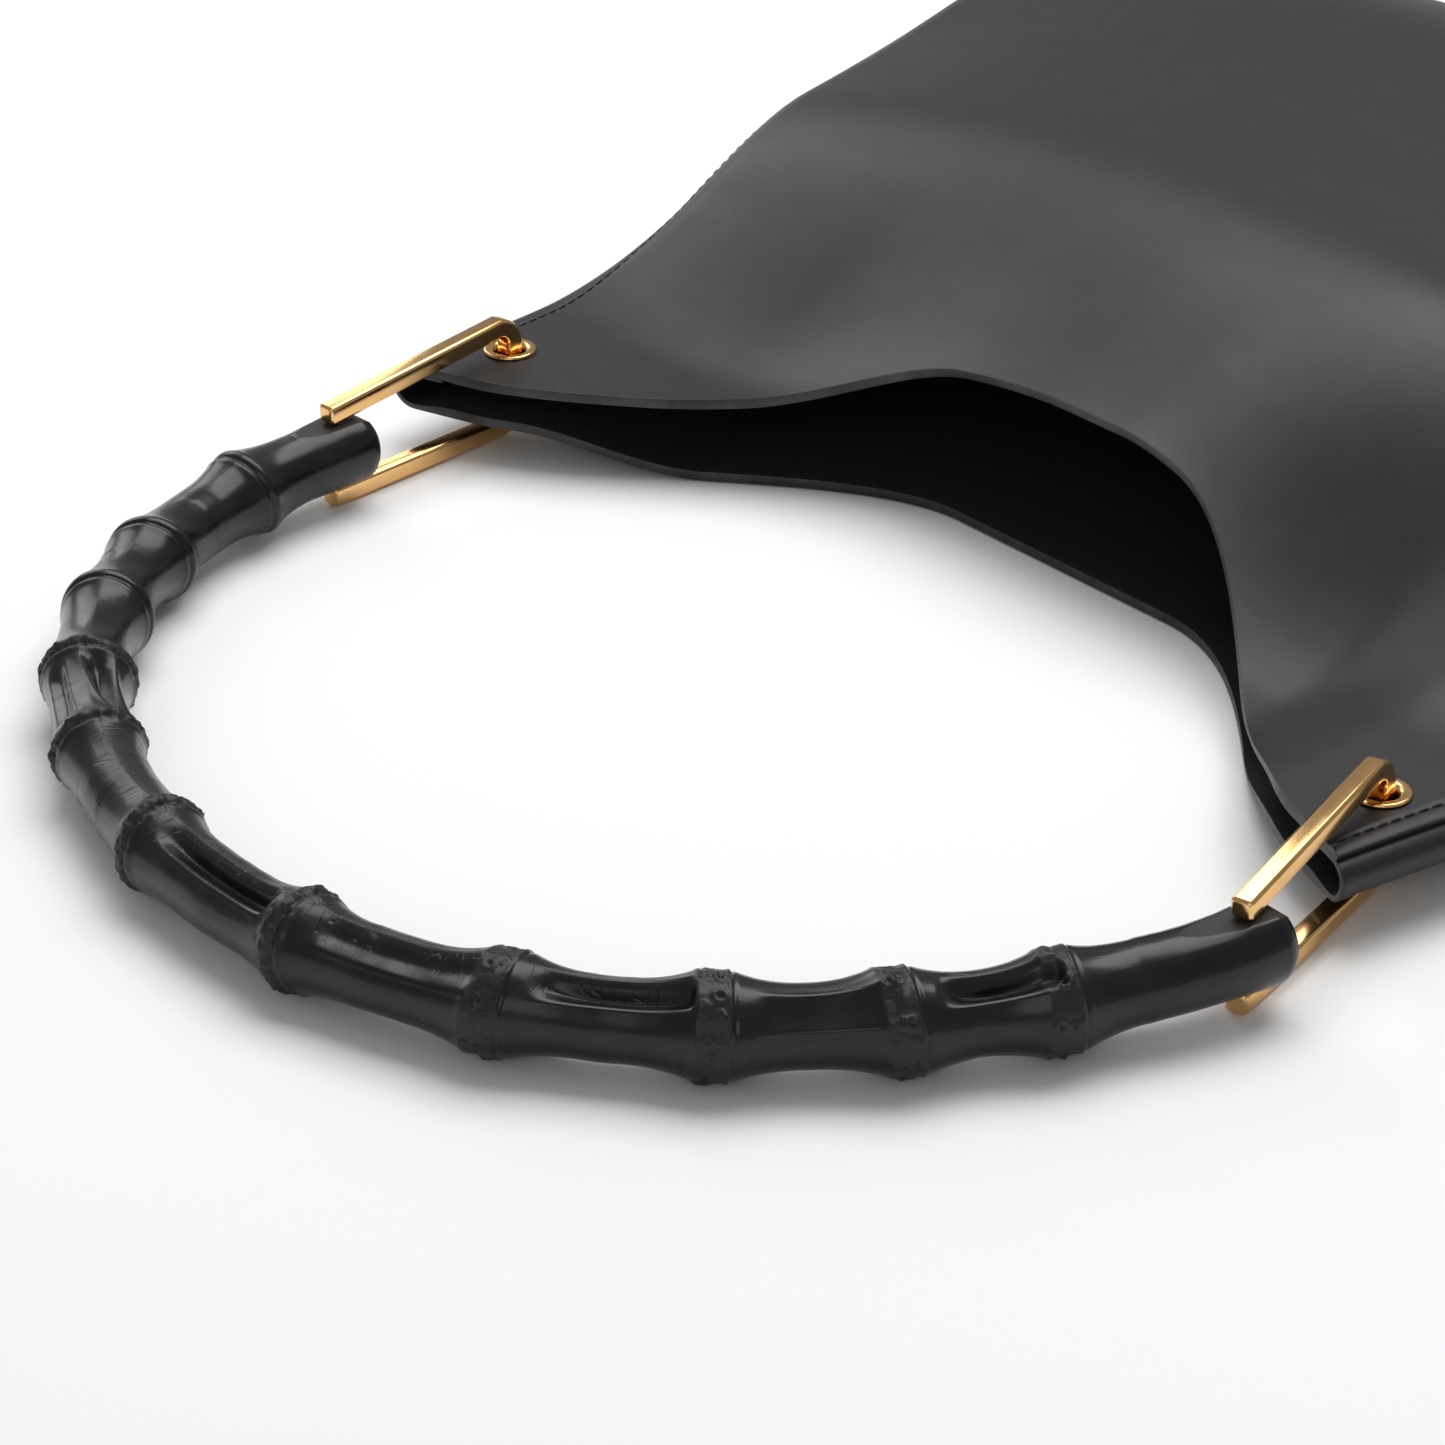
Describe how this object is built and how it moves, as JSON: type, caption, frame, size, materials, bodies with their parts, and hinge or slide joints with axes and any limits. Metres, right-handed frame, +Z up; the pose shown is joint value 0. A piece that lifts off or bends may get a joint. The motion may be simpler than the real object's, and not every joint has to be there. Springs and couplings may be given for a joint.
{
  "type": "leather shoulder bag with arched bamboo handle",
  "caption": "Soft leather shoulder bag with a scooped open mouth and an arched bamboo handle that hangs on metal links through eyelets in the mouth's corners.",
  "frame": {"origin": "middle of the bag's footprint as it lies on its back, on the surface it lies on", "axes": "+X from the left eyelet to the right one, +Y from the handle towards the bag's bottom, +Z up out of the front panel"},
  "size_m": [0.4709, 0.5084, 0.0664],
  "materials": {
    "leather_front": "satin black smooth calf",
    "leather_back": "satin black smooth calf",
    "leather_patch": "matt black",
    "gold_metal": "polished, gold plated",
    "bamboo": "black lacquer over root bamboo"
  },
  "bodies": {
    "bag": {"front_panel": "leather_front", "back_panel": "leather_back", "mouth_patch": "leather_patch"},
    "corners": {"left_corner_front": "leather_front", "left_corner_back": "leather_back", "right_corner_front": "leather_front", "right_corner_back": "leather_back", "left_eyelet_front": "gold_metal", "left_eyelet_back": "gold_metal", "left_washer_front": "gold_metal", "left_washer_back": "gold_metal", "right_eyelet_front": "gold_metal", "right_eyelet_back": "gold_metal", "right_washer_front": "gold_metal", "right_washer_back": "gold_metal"},
    "left_link": {"left_link": "gold_metal", "left_pin": "gold_metal"},
    "right_link": {"right_link": "gold_metal", "right_pin": "gold_metal"},
    "handle": {"bamboo_handle": "bamboo"}
  },
  "joints": [
    {"name": "handle_lift", "type": "hinge", "parent": "bag", "child": "corners", "pos_m": [0, -0.04222, 0.01448], "axis": [-1, 0, 0], "range_deg": [0, 60]},
    {"name": "left_link_sway", "type": "hinge", "parent": "corners", "child": "left_link", "pos_m": [-0.137, -0.06222, 0.01448], "axis": [0, 0, 1], "range_deg": [-35, 12]},
    {"name": "handle_sway", "type": "hinge", "parent": "left_link", "child": "handle", "pos_m": [-0.13094, -0.11538, 0.01278], "axis": [0, 0, 1], "range_deg": [-12, 34]},
    {"name": "right_link_sway", "type": "hinge", "parent": "corners", "child": "right_link", "pos_m": [0.137, -0.06222, 0.01448], "axis": [0, 0, 1], "range_deg": [-35, 12]}
  ],
  "couplings": [
    {"joint": "handle_sway", "follows": "left_link_sway", "ratio": -0.968},
    {"joint": "right_link_sway", "follows": "left_link_sway", "ratio": 1}
  ]
}
